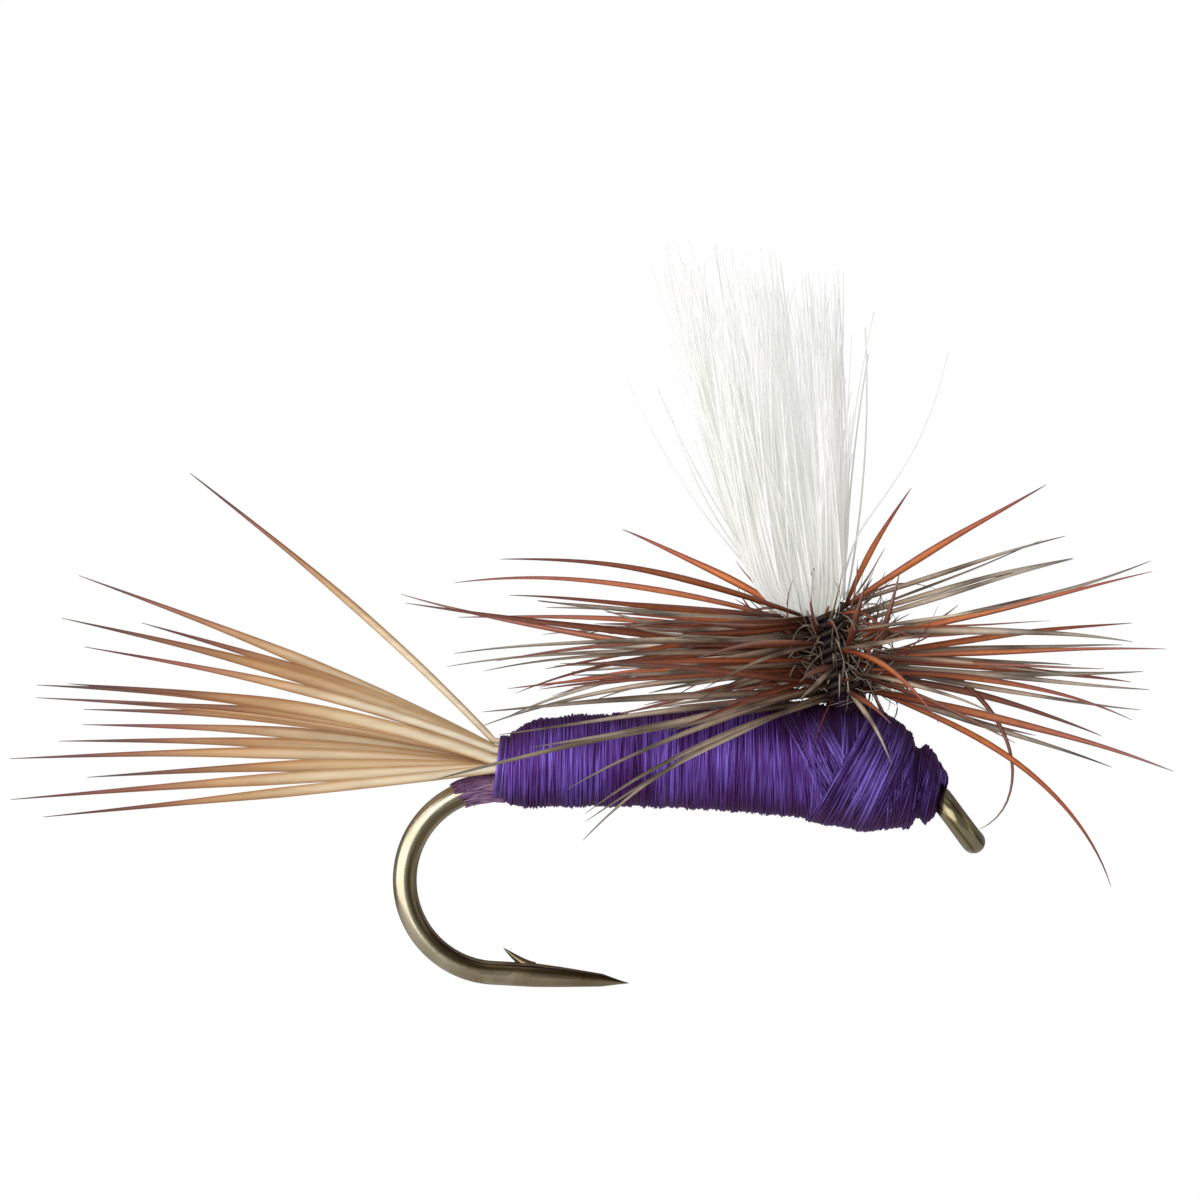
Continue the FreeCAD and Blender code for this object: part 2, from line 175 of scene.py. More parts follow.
class Nodes:
    """A material's node tree, with short ways to add what these need."""

    def __init__(self, name):
        self.material = bpy.data.materials.new(name)
        self.material.use_nodes = True
        self.tree = self.material.node_tree
        self.shader = self.tree.nodes["Principled BSDF"]
        self.links = self.tree.links

    def add(self, kind, **settings):
        node = self.tree.nodes.new(kind)
        for key, value in settings.items():
            setattr(node, key, value)
        return node

    def feed(self, node, **inputs):
        for key, value in inputs.items():
            socket = node.inputs[int(key[1:])] if key[0] == "_" else node.inputs[key.replace("_", " ")]
            if isinstance(value, bpy.types.NodeSocket):
                self.links.new(value, socket)
            else:
                socket.default_value = value
        return node

    def attribute(self, name):
        return self.add("ShaderNodeAttribute", attribute_name=name).outputs["Fac"]

    def place(self, scale=(1.0, 1.0, 1.0)):
        mapping = self.add("ShaderNodeMapping")
        mapping.inputs["Scale"].default_value = scale
        self.links.new(self.add("ShaderNodeTexCoord").outputs["Object"], mapping.inputs["Vector"])
        return mapping.outputs["Vector"]

    def noise(self, scale, detail=3.0, rough=0.5, stretch=(1.0, 1.0, 1.0)):
        node = self.add("ShaderNodeTexNoise")
        self.feed(node, Vector=self.place(stretch), Scale=scale, Detail=detail, Roughness=rough)
        return node.outputs["Fac"]

    def math(self, operation, a, b=0.0, c=None):
        node = self.add("ShaderNodeMath", operation=operation)
        self.feed(node, _0=a, _1=b)
        if c is not None:
            self.feed(node, _2=c)
        return node.outputs[0]

    def swing(self, value, amount):
        """A value of 0 to 1 as a swing about zero, amount wide."""
        return self.math("MULTIPLY", self.math("SUBTRACT", value, 0.5), amount)

    def ramp(self, fac, *stops):
        node = self.add("ShaderNodeValToRGB")
        while len(node.color_ramp.elements) < len(stops):
            node.color_ramp.elements.new(0.5)
        for element, (position, colour) in zip(node.color_ramp.elements, stops):
            element.position, element.color = position, colour
        self.feed(node, Fac=fac)
        return node.outputs["Color"]

    def mix(self, fac, a, b, blend="MIX"):
        node = self.add("ShaderNodeMix", data_type="RGBA", blend_type=blend)
        for socket, value in ((node.inputs[0], fac), (node.inputs[6], a), (node.inputs[7], b)):
            if isinstance(value, bpy.types.NodeSocket):
                self.links.new(value, socket)
            else:
                socket.default_value = value
        return node.outputs[2]

    def bump(self, height, strength, distance):
        node = self.add("ShaderNodeBump")
        self.feed(node, Height=height, Strength=strength, Distance=distance)
        self.links.new(node.outputs["Normal"], self.shader.inputs["Normal"])

    def surface(self, **inputs):
        self.feed(self.shader, **inputs)
        return self.material


def bronze(name, dark, across, *painted_bands):
    """Bronzed wire: painted reflection in bands along it, placed by the attribute across, and painted shade
    towards the point.
    """
    m = Nodes(name)
    patches = m.noise(900.0, 4.0, 0.6)
    colour = m.ramp(
        patches,
        (0.25, srgb(158, 148, 122)),
        (0.5, srgb(184, 176, 152)),
        (0.75, srgb(202, 196, 176)),
    )
    waver = m.swing(m.noise(620.0, 3.0), 0.16)
    # Painted reflection: pale and dark bands along the wire, placed by the attribute across.
    colour = m.mix(1.0, colour, m.ramp(m.math("ADD", m.attribute(across), waver), *painted_bands), "MULTIPLY")
    # Painted shade: darker towards the point, and on the eye and barb, whose along is fixed high.
    shade_towards_point = m.math("ADD", m.attribute("along"), m.swing(m.noise(1300.0, 4.0, 0.7), 0.5))
    colour = m.mix(1.0, colour, m.ramp(shade_towards_point, (0.48, (1, 1, 1, 1)), (0.72, dark)), "MULTIPLY")
    pits = m.ramp(m.noise(3800.0, 2.0), (0.24, srgb(96, 80, 56)), (0.34, (1, 1, 1, 1)))
    colour = m.mix(0.6, colour, pits, "MULTIPLY")
    rough = m.ramp(m.noise(2500.0, 3.0), (0.3, (0.17, 0.17, 0.17, 1)), (0.7, (0.30, 0.30, 0.30, 1)))
    m.bump(m.noise(2600.0, 2.0), 0.3, 0.00001)
    return m.surface(Base_Color=colour, Metallic=1.0, Roughness=rough)


def thread(name, edge, dark, middle, light, rough=0.36, metal=0.5, own=0.3, gain=1.1,
           stretch=(20.0, 1.0, 1.0)):
    """Silky wound thread: fine streaks along each strand, drifts along the body, painted maroon shade at top
    and bottom.

    The colours are display colours. own is how much each strand keeps its own tone, gain how
    strong the streaks are.
    """
    edge, dark, middle, light = [srgb(*colour) for colour in (edge, dark, middle, light)]
    m = Nodes(name)
    streak = m.noise(1500.0, 3.0, 0.55, stretch)
    drift = m.noise(560.0, 2.0, 0.5, (2.2, 0.8, 0.8))
    tone = m.math("ADD", m.math("MULTIPLY", m.attribute("shade"), own), m.swing(streak, gain))
    tone = m.math("ADD", tone, m.swing(drift, 1.4))
    tone = m.math("ADD", tone, 0.5 - own / 2)
    colour = m.ramp(tone, (0.05, dark), (0.45, middle), (0.95, light))
    # Painted shade: the first colour is mixed in where side is low, at the top and bottom of the body.
    side = m.math("ADD", m.attribute("side"), m.swing(drift, 0.5))
    colour = m.mix(m.ramp(side, (0.45, (0.9, 0.9, 0.9, 1)), (0.93, (0, 0, 0, 1))), colour, edge)
    m.bump(m.noise(7000.0, 2.0, 0.5, (4.0, 1.0, 1.0)), 0.25, 0.000004)
    material = m.surface(Base_Color=colour, Roughness=rough)
    m.shader.inputs["Metallic"].default_value = metal
    m.shader.inputs["Specular IOR Level"].default_value = 0.35
    m.shader.inputs["Specular Tint"].default_value = srgb(190, 160, 250)
    return material


def stops(*rows):
    """Colour stops from rows of position, red, green and blue."""
    return [(position, srgb(*colour)) for position, *colour in rows]


def keratin(name, bright, dull, rough=0.38, bars=None, rim=(0.55, 0.5, 0.46, 1), lit=0.2,
            stretch=(1.0, 1.0, 1.0)):
    """A feather barb or stiff fibre: colour runs from root to tip, and differs fibre by fibre.

    bars holds how many dark bars there are, their colour and their strength. rim is the colour of
    the painted shade along the narrow edges.
    """
    m = Nodes(name)
    along, shade = m.attribute("along"), m.attribute("shade")
    wander = m.swing(m.noise(420.0, 3.0), 0.22)
    place = m.math("ADD", along, wander)
    colour = m.mix(shade, m.ramp(place, *bright), m.ramp(place, *dull))
    if bars:
        count, dark, weight = bars
        turn = m.math("ADD", m.math("MULTIPLY", place, count * 6.283), m.math("MULTIPLY", shade, 19.0))
        band = m.math("MULTIPLY", m.math("ADD", m.math("SINE", turn), 1.0), 0.5)
        colour = m.mix(m.math("MULTIPLY", m.math("POWER", band, 2.2), weight), colour, dark)
    # Painted shade: the narrow edges are darkened towards the rim colour.
    colour = m.mix(1.0, colour, m.ramp(m.attribute("rim"), (0.08, PALE), (0.66, rim)), "MULTIPLY")
    grain = m.noise(5200.0, 2.0, 0.6, stretch)
    colour = m.mix(0.5, colour, m.ramp(grain, (0.3, (0.62, 0.6, 0.58, 1)), (0.62, (1, 1, 1, 1))), "MULTIPLY")
    m.bump(grain, 0.3, 0.000005)
    material = m.surface(Base_Color=colour, Roughness=rough)
    m.shader.inputs["Specular IOR Level"].default_value = 0.5
    m.shader.inputs["Subsurface Weight"].default_value = lit
    m.shader.inputs["Subsurface Radius"].default_value = (0.0003, 0.0002, 0.00012)
    return material


def white_hair():
    """White wing hair, greyer towards its root, which is painted shade. Its faint emission stands for light
    scattered inside it.
    """
    m = Nodes("wing_hair_white")
    along, shade = m.attribute("along"), m.attribute("shade")
    # Painted shade: the hair is greyer towards its root.
    tone = m.math("ADD", m.math("MULTIPLY", shade, 0.55), m.math("MULTIPLY", along, 0.5))
    colour = m.ramp(tone, *stops((0.0, 212, 213, 208), (0.4, 240, 240, 238), (0.9, 250, 250, 250)))
    streak = m.noise(1500.0, 2.0, 0.5, (1.0, 1.0, 0.2))
    streak = m.ramp(streak, (0.3, srgb(226, 229, 219)), (0.6, PALE))
    material = m.surface(Base_Color=m.mix(0.6, colour, streak, "MULTIPLY"), Roughness=0.45)
    m.shader.inputs["Subsurface Weight"].default_value = 0.5
    m.shader.inputs["Subsurface Radius"].default_value = (0.0006, 0.0006, 0.0006)
    m.shader.inputs["Specular IOR Level"].default_value = 0.4
    m.shader.inputs["Emission Color"].default_value = (1.0, 1.0, 1.0, 1.0)
    m.shader.inputs["Emission Strength"].default_value = 0.16
    return material


PALE = (1, 1, 1, 1)
SHADOW = (0.46, 0.40, 0.34, 1)
PAINTED_DARK_BAND = (0.34, 0.30, 0.22, 1)
SHEEN = (0.8, 0.74, 0.7, 1)
# Painted reflection and shade: each bronze's first colour darkens it towards the point, and its bands are
# shadowed edges, a pale lit band, a dark band and a sheen.
BRONZE = bronze(
    "bronzed_wire", (0.60, 0.53, 0.46, 1), "inner",
    (0.0, SHADOW), (0.05, PALE), (0.52, PALE), (0.64, PAINTED_DARK_BAND), (0.80, PAINTED_DARK_BAND), (0.90, SHEEN), (1.0, SHADOW),
)
BRONZE_EYE = bronze(
    "bronzed_eye", (0.60, 0.57, 0.47, 1), "rim",
    (0.0, SHADOW), (0.16, PALE), (0.55, PALE), (0.78, PAINTED_DARK_BAND), (0.92, PALE),
)
# Each thread's first colour is the painted shade it takes at the top and bottom of the body.
FLOSS = thread("purple_floss", (82, 42, 88), (62, 30, 76), (100, 58, 140), (148, 118, 228))
THREAD = thread(
    "purple_thread", (88, 54, 92), (54, 30, 68), (74, 42, 112), (144, 118, 214),
    own=1.0, gain=0.5, stretch=(3.0, 3.0, 2.0),
)
# A darker copy of the purple thread: painted shade for the wraps under the hackle.
SHADED_WRAPS = thread(
    "post_thread_painted_shade", (38, 20, 26), (28, 14, 20), (50, 28, 40), (104, 60, 140),
    rough=0.6, metal=0.1, own=1.2, gain=0.5,
)
TAG = thread(
    "thread_tag_worn", (112, 76, 112), (84, 52, 90), (132, 96, 136), (184, 152, 176),
    rough=0.6, metal=0.05, own=0.6, gain=0.8, stretch=(2.0, 2.0, 2.0),
)
UNDER = thread(
    "under_thread", (52, 24, 56), (40, 18, 52), (60, 30, 90), (80, 46, 124),
    rough=0.6, metal=0.1,
)
TAIL = keratin(
    "tail_fibre_tan",
    stops((0.0, 255, 247, 226), (0.36, 252, 236, 206), (0.58, 228, 188, 142),
          (0.74, 186, 118, 96), (0.9, 128, 66, 74), (1.0, 122, 66, 84)),
    stops((0.0, 252, 236, 204), (0.32, 244, 216, 172), (0.56, 212, 164, 112),
          (0.74, 150, 106, 76), (0.9, 104, 76, 70), (1.0, 92, 82, 72)),
    rough=0.42,
    rim=(0.76, 0.58, 0.42, 1),
    lit=0.08,
    stretch=(0.10, 1.0, 1.0),
)
# The dark roots are partly the feather's own colour and partly painted shade from the dense barbs round the
# post.
BROWN = keratin(
    "hackle_brown",
    stops((0.0, 66, 30, 20), (0.10, 184, 88, 42), (0.40, 240, 140, 72), (0.72, 204, 104, 68),
          (1.0, 140, 72, 70)),
    stops((0.0, 40, 22, 16), (0.22, 84, 42, 32), (0.46, 142, 84, 62), (0.8, 156, 106, 94),
          (1.0, 158, 134, 128)),
    rim=(0.42, 0.28, 0.24, 1),
    lit=0.08,
)
# The dark roots are partly the feather's own colour and partly painted shade from the dense barbs round the
# post.
GRIZZLY = keratin(
    "hackle_grizzly",
    stops((0.0, 108, 80, 60), (0.18, 226, 204, 176), (0.6, 244, 230, 212), (0.85, 196, 184, 168),
          (1.0, 154, 152, 138)),
    stops((0.0, 70, 42, 32), (0.18, 112, 74, 56), (0.40, 178, 146, 122), (0.62, 210, 184, 160),
          (0.82, 160, 146, 130), (1.0, 122, 124, 108)),
    bars=(2.2, srgb(80, 62, 48), 0.75),
    rim=(0.46, 0.4, 0.34, 1),
    lit=0.08,
)
# The quills' dark colour is partly their own and partly painted shade from the barbs round the post.
QUILL = keratin(
    "quill_dark",
    stops((0.0, 48, 30, 24), (1.0, 62, 38, 30)),
    stops((0.0, 32, 20, 16), (1.0, 44, 28, 22)),
    rough=0.6,
)
HAIR = white_hair()



def finish_piece(thing, material, slot, *nodes):
    """Gives a piece its material, parents it to the root body and hides the CAD nodes it stands for."""
    thing.data.materials.clear()
    thing.data.materials.append(material)
    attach(thing, "root")
    if nodes:
        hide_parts(*nodes)
    return thing


# ------------------------------------------------------------------ where the CAD pieces are

eye = np.array(mounts["tippet_eye"]["pos_m"]) / MM
eye_axis = unit(mounts["tippet_eye"]["axis"])
# Half the wire's thickness on the shank and at the eye, the eye ring's radius and the bend's.
WIRE = 0.24
EYE_WIRE = 0.23
EYE_RING = 0.55
BEND = 1.86
# The point's half thickness at distances back from its tip.
POINT_TAPER = (
    (0, 0.006), (0.18, 0.042), (0.30, 0.072), (0.54, 0.13), (0.78, 0.152), (1.38, 0.205), (1.9, WIRE),
)
BARB_FROM_POINT = 2.18
BARB_LENGTH = 0.36
BARB_HEIGHT = 0.27
BAR = unit(np.cross(eye_axis, (0.0, 1.0, 0.0)))
if BAR[2] > 0:
    BAR = -BAR
EYE_TOP = eye - BAR * EYE_RING
SHANK_Z = EYE_TOP[2]
BEND_CENTRE = np.array([mounts["hook_bend"]["pos_m"][0] / MM + BEND, 0.0, SHANK_Z - BEND])
POINT = np.array(mounts["hook_point"]["pos_m"]) / MM
ARM = unit(mounts["hook_point"]["axis"])
SPLAY = math.atan2(-ARM[2], ARM[0])
ARM_NORMAL = np.array([-ARM[2], 0.0, ARM[0]])
ARM_START = BEND_CENTRE - ARM_NORMAL * BEND

# ------------------------------------------------------------------ hook

def build_hook():
    """The wire with its barb, and the eye's ring."""
    shank = np.linspace(EYE_TOP, [BEND_CENTRE[0], 0, SHANK_Z], 24)[:-1]
    sweep_angle = np.linspace(math.pi / 2, 1.5 * math.pi - SPLAY, 90)
    bend = BEND_CENTRE + BEND * np.stack([np.cos(sweep_angle), 0 * sweep_angle, np.sin(sweep_angle)], -1)
    arm_length = np.linalg.norm(POINT - ARM_START)
    reach = np.concatenate([np.linspace(0.03, 0.42, 12), np.linspace(0.44, 1.0, 46)]) * arm_length
    arm = ARM_START + reach[:, None] * ARM
    left = arm_length - reach
    taper = np.interp(left, *zip(*POINT_TAPER))
    arm = arm - ARM_NORMAL * (WIRE - taper)[:, None] * 0.25
    path = np.concatenate([shank, bend, arm])
    radius = np.concatenate([np.full(len(shank) + len(bend), WIRE), np.maximum(taper, 0.008)])
    wire = sweep("hook_wire", path[None], radius[None], sides=40, facing=(0, 1, 0),
                 along=along_for(1, len(path)))

    around = np.linspace(0, TURN, 97)[:-1]
    side = np.array([0.0, 1.0, 0.0])
    ring = eye + EYE_RING * (np.cos(around)[:, None] * -BAR + np.sin(around)[:, None] * side)
    thick = EYE_WIRE * (1 + 0.03 * np.cos(around * 2 + 0.5))
    # The eye's fixed along puts it in the bronze's painted shade.
    loop = sweep("hook_eye", ring[None], thick[None], sides=36, facing=eye_axis, closed=True,
                 along=np.full((1, 96), 0.75))

    heel = ARM_START + ARM * (arm_length - BARB_FROM_POINT)
    t = np.linspace(0, 1, 16)
    tip = heel + ARM_NORMAL * (WIRE + BARB_HEIGHT) - ARM * BARB_LENGTH
    base = heel + ARM * 0.26 + ARM_NORMAL * (WIRE * 0.55)
    bow = heel + ARM * 0.02 + ARM_NORMAL * (WIRE * 0.9)
    curve = (1 - t)[:, None] ** 2 * base + 2 * (t * (1 - t))[:, None] * bow + (t ** 2)[:, None] * tip
    width = 0.13 * (1 - t) ** 0.75 + 0.006
    # The barb's fixed along puts it in the bronze's painted shade.
    blade = sweep("hook_barb", curve[None], width[None], sides=14, flat=0.72, facing=(0, 1, 0),
                  along=np.full((1, 16), 0.8))
    return join("hook_smooth", [wire, blade]), loop


hook_smooth, hook_loop = build_hook()
finish_piece(hook_smooth, BRONZE, "hook_wire", "hook")
finish_piece(hook_loop, BRONZE_EYE, "hook_wire", "hook")

# ------------------------------------------------------------------ wound body

BODY_NODES = ("abdomen_floss", "thorax_thread", "head_thread")
# Rays start this far off, and leave this much room on each side of the wing post.
FAR = 20.0
POST_ROOM = 0.6


def world_points(thing):
    """A CAD node's vertices, in millimetres."""
    points = np.empty(len(thing.data.vertices) * 3)
    thing.data.vertices.foreach_get("co", points)
    world = np.array(thing.matrix_world)
    return (points.reshape(-1, 3) @ world[:3, :3].T + world[:3, 3]) / MM


def body_profile(count=90):
    """Stations along the wound body, felt from outside its CAD solids: x, top, bottom and width."""
    points, faces = [], []
    for name in BODY_NODES:
        thing = frame["nodes"][name]
        faces += [[v + len(points) for v in polygon.vertices] for polygon in thing.data.polygons]
        points += world_points(thing).tolist()
    tree = BVHTree.FromPolygons(points, faces)
    rear, front = corners("abdomen_floss")[0][0], corners("head_thread")[1][0]
    post_x = (corners("post_wraps")[0][0] + corners("post_wraps")[1][0]) / 2
    stations = []
    for x in np.linspace(rear + 0.01, front - 0.01, count):
        top = tree.ray_cast((x, 0, FAR), (0, 0, -1))[0]
        bottom = tree.ray_cast((x, 0, -FAR), (0, 0, 1))[0]
        if top is None or bottom is None or abs(x - post_x) < POST_ROOM:
            continue
        side = tree.ray_cast((x, FAR, (top.z + bottom.z) / 2), (0, -1, 0))[0]
        if side is not None:
            rounded = 1 - 0.16 * (1 - min((x - rear) / 0.4, 1)) ** 2
            centre, tall = (top.z + bottom.z) / 2, (top.z - bottom.z) / 2 * rounded
            stations.append((x, centre + tall, centre - tall, 2 * side.y * rounded))
    last = stations[-1]
    centre = (last[1] + last[2]) / 2
    stations.append((front + 0.05, centre + 0.08, centre - 0.08, 0.16))
    return np.array(stations)


PROFILE = body_profile()


def section(x):
    """Centre height, half height and half width of the wound body at x."""
    top = np.interp(x, PROFILE[:, 0], PROFILE[:, 1])
    bottom = np.interp(x, PROFILE[:, 0], PROFILE[:, 2])
    width = np.interp(x, PROFILE[:, 0], PROFILE[:, 3])
    return (top + bottom) / 2, (top - bottom) / 2, width / 2


def on_body(x, around, out=0.0):
    """A point on the wound body at x, turned around it from the top towards +Y."""
    middle, tall, wide = section(x)
    height = middle + (tall + out) * np.cos(around)
    return np.stack([x + 0 * around, (wide + out) * np.sin(around), height], -1)


def shell(name, x0, x1, rings, sides=64):
    """The dark core under the strands, from x0 to x1."""
    x = np.linspace(x0, x1, rings)
    around = np.linspace(0, TURN, sides + 1)[:-1]
    grid = on_body(x[:, None] + 0 * around[None], around[None] + 0 * x[:, None])
    index = np.arange(rings * sides).reshape(rings, sides)
    here, there = index[:-1], index[1:]
    quads = np.stack([here, np.roll(here, -1, 1), np.roll(there, -1, 1), there], -1).reshape(-1, 4)
    # side, low at the top and bottom of the body, places the thread's painted shade.
    return make_mesh(name, grid, [quads, index[:1, ::-1], index[-1:]], shade=rng.random(rings * sides),
                     side=np.tile(np.abs(np.sin(around)), rings))


def slanted_loops(name, starts, slant, skew, radius, seed, out, steps=64, spread=0.03, tone=0.5):
    """Crossing turns of thread: each is a closed loop lying in a tilted plane over the body."""
    r = np.random.default_rng(seed)
    starts = np.asarray(starts, float)
    n = len(starts)
    slant = np.broadcast_to(np.asarray(slant, float), n)[:, None] + r.normal(size=(n, 1)) * spread
    skew = np.broadcast_to(np.asarray(skew, float), n)[:, None]
    around = np.linspace(0, TURN, steps + 1)[:-1][None]
    ripple = 0.006 * np.sin(around * r.integers(1, 6, (n, 1)) + r.uniform(*ANY_PHASE, (n, 1)))
    lumps = 0.012 * np.sin(starts * 8.0) + 0.010 * np.sin(starts * 21.0 + 1.0) + 0.014 * np.sin(starts * 47.0)
    lift = out + r.normal(size=(n, 1)) * 0.004 + ripple + lumps[:, None]
    x = starts[:, None] + r.normal(size=(n, 1)) * spread * 0.5 + 0 * around
    for _ in range(14):
        middle, tall, wide = section(x)
        aim = starts[:, None] + slant * (middle + tall * np.cos(around) - 1.0) + skew * wide * np.sin(around)
        x = np.clip(x + 0.6 * (aim - x), PROFILE[0, 0], PROFILE[-1, 0])
    paths = on_body(x, around + 0 * x, lift)
    facing = np.stack([0 * x, np.sin(around) + 0 * x, np.cos(around) + 0 * x], -1)
    shade = tone + 0.26 * r.normal(size=(n, 1)) + 0.2 * np.sin(around * 3 + r.uniform(*ANY_PHASE, (n, 1)))
    shade = np.clip(shade, 0, 1)
    # side, low at the top and bottom of the body, places the thread's painted shade.
    return sweep(name, paths, radius * r.uniform(0.75, 1.25, (n, 1)), sides=4, facing=facing, closed=True,
                 shade=shade, side=np.abs(np.sin(around)) + 0 * shade)


abdomen_rear = corners("abdomen_floss")[0][0]
thorax_rear = corners("thorax_thread")[0][0]
head_rear = corners("head_thread")[0][0]

core = shell("body_core", abdomen_rear, thorax_rear, 90)
finish_piece(core, UNDER, "body_floss")
first = np.linspace(abdomen_rear + 0.01, thorax_rear + 0.28, 250)
tilt = np.interp(first, [-9.1, -8.6, -4.6, -3.3, -2.7], [0.02, 0.0, 0.0, -0.10, -0.24])
second = np.sort(np.random.default_rng(4).uniform(abdomen_rear + 0.05, thorax_rear + 0.2, 130))
floss = [
    slanted_loops("floss_strands", first, tilt, 0.0, 0.019, 3, 0.006, spread=0.02),
    slanted_loops("floss_over", second, np.interp(second, first, tilt) + 0.02, 0.02, 0.014, 5, 0.014,
                  spread=0.06, tone=0.7),
]
finish_piece(join("abdomen_wound", floss), FLOSS, "body_floss", "abdomen_floss")

front_core = shell("thorax_core", thorax_rear - 0.02, head_rear + 0.02, 40)
finish_piece(front_core, UNDER, "tying_thread")
starts = np.linspace(-2.42, -1.20, 170)
slope = np.interp(starts, [-2.4, -1.9, -1.2], [0.55, 0.48, 0.40])
over = slanted_loops("thorax_over", starts, slope, 0.0, 0.013, 11, 0.046)
crossing = np.linspace(-3.05, -2.15, 90)
crossed = slanted_loops("thorax_crossed", crossing, -0.55, 0.0, 0.014, 12, 0.014, spread=0.04, tone=0.55)
fill = slanted_loops("thorax_fill", np.linspace(thorax_rear - 0.1, -0.95, 90), 0.02, 0.0, 0.018, 13, 0.002)
finish_piece(join("thorax_wound", [over, crossed, fill]), THREAD, "tying_thread", "thorax_thread")

head_core = shell("head_core", head_rear - 0.02, PROFILE[-1, 0], 30)
finish_piece(head_core, UNDER, "tying_thread")
starts = np.linspace(-1.25, -0.22, 130)
slope = np.interp(starts, [-1.25, -0.8, -0.22], [0.40, 0.34, 0.10])
head = slanted_loops("head_turns", starts, slope, 0.0, 0.014, 21, 0.014, spread=0.05)
finish_piece(head, THREAD, "tying_thread", "head_thread")
whip_low, whip_high = corners("whip_finish")
starts = np.linspace(whip_low[0] + 0.02, whip_high[0] + 0.04, 12)
whip = slanted_loops("whip_turns", starts, 0.16, 0.02, 0.022, 22, 0.045, spread=0.01)
finish_piece(whip, THREAD, "tying_thread", "whip_finish")

# ------------------------------------------------------------------ tail binding and thread tag

def binding_turns():
    """The narrow collar of thread that holds the tail on top of the shank, leaning back at its foot."""
    low, high = corners("tail_binding")
    n, steps = 12, 64
    r = np.random.default_rng(31)
    around = np.linspace(0, TURN, steps + 1)[:-1][None]
    x = np.linspace(low[0] + 0.12, high[0] + 0.02, n)[:, None] - 0.06 * (1 - np.cos(around))
    x = x + r.normal(size=(n, 1)) * 0.008
    tall, wide = (high[2] - low[2]) / 2 - 0.06, (high[1] - low[1]) / 2 - 0.02
    y = wide * np.sin(around) * (1 + r.normal(size=(n, 1)) * 0.01)
    z = (low[2] + high[2]) / 2 + tall * np.cos(around) * (1 + r.normal(size=(n, 1)) * 0.012)
    facing = np.stack([0 * x, np.sin(around) + 0 * x, np.cos(around) + 0 * x], -1)
    # side places the thread's painted shade, most at the top and bottom of the collar.
    return sweep("binding_turns", np.stack([x, y, z], -1), np.full((n, steps), 0.022), facing=facing,
                 closed=True, shade=0.3 + r.random(n) * 0.6,
                 side=0.35 + 0.5 * np.abs(np.sin(around)) + 0 * x)


def thread_tag():
    """Flattened thread lying over the start of the bend, cut off square, with a little fuzz."""
    r = np.random.default_rng(32)
    across = np.array([0.0, 1.0, 0.0])

    def over_bend(along, turn, lift):
        """Points along the bend from its start, turned round the wire and lifted off its axis."""
        angle = math.pi / 2 + along / BEND
        outward = np.stack([np.cos(angle), 0 * angle, np.sin(angle)], -1)
        spot = BEND_CENTRE + BEND * outward
        off_axis = np.cos(turn)[..., None] * outward + np.sin(turn)[..., None] * across
        return spot + lift[..., None] * off_axis, outward

    n, k = 130, 22
    t = np.linspace(0, 1, k)[None]
    turn = np.linspace(0, TURN, n)[:, None] + r.uniform(-0.9, 0.9, (n, 1)) * t
    along = -0.12 + (r.uniform(0.86, 1.0, (n, 1)) + 0.06 * np.cos(turn[:, :1])) * t
    lift = WIRE + 0.016 + 0.022 * r.random((n, 1)) + 0.012 * np.sin(t * 6 + r.uniform(0, 6, (n, 1)))
    lift = lift - 0.01 * t ** 6
    paths, outward = over_bend(along, turn, lift)
    radius = 0.024 * (1 - 0.5 * t ** 5) + 0 * lift
    # A side of 0.8 gives the tag a little of the thread's painted shade.
    lay = sweep("tag_lay", paths, radius, sides=5, facing=outward, shade=r.random(n),
                side=np.full((n, k), 0.8))

    n, k = 44, 9
    t = np.linspace(0, 1, k)[None]
    along = r.uniform(-0.2, 0.85, (n, 1)) + r.uniform(-0.05, 0.16, (n, 1)) * t
    turn = r.uniform(-2.6, 2.6, (n, 1)) + 0.6 * r.normal(size=(n, 1)) * t
    paths, outward = over_bend(along, turn, WIRE + 0.02 + t * r.uniform(0.02, 0.09, (n, 1)))
    # The fuzz takes the same painted shade.
    fuzz = sweep("tag_fuzz", paths, 0.007 + 0 * paths[..., 0], sides=4, facing=outward,
                 shade=r.random(n), side=np.full((n, k), 0.8))
    return join("thread_tag_worn", [lay, fuzz])


def shank_turns():
    """The thread base on the bare wire, seen only where the collar and head leave a gap."""
    steps = 40
    around = np.linspace(0, TURN, steps + 1)[:-1][None]

    def turns(first, last, count, radius):
        x = np.linspace(first, last, count)[:, None]
        y = radius * np.sin(around) + 0 * x
        return np.stack([x + 0 * around, y, SHANK_Z + radius * np.cos(around) + 0 * x], -1)

    front = corners("thread_base")[1][0]
    rings = np.concatenate([
        turns(front - 1.0, front, 26, WIRE + 0.025),
        turns(BEND_CENTRE[0] - 0.02, corners("tail_binding")[1][0], 12, WIRE + 0.03),
    ])
    x = rings[..., 0]
    facing = np.stack([0 * x, np.sin(around) + 0 * x, np.cos(around) + 0 * x], -1)
    # A side of 0.7 gives these turns some of the thread's painted shade.
    return sweep("shank_turns", rings, np.full(rings.shape[:2], 0.024), sides=5, facing=facing, closed=True,
                 shade=rng.random(len(rings)), side=np.full(rings.shape[:2], 0.7))


finish_piece(binding_turns(), THREAD, "tying_thread", "tail_binding")
finish_piece(join("thread_base_wound", [shank_turns(), thread_tag()]), TAG, "tying_thread", "thread_base")

# ------------------------------------------------------------------ tail

def fibre_ends(number):
    """Where one CAD tail fibre starts and ends, from its own mesh."""
    points = world_points(frame["nodes"]["tail_fibre_%02d" % number])
    butt = points[points[:, 0] > points[:, 0].max() - 0.05].mean(0)
    tip = points[points[:, 0] < points[:, 0].min() + 0.03].mean(0)
    return butt, tip


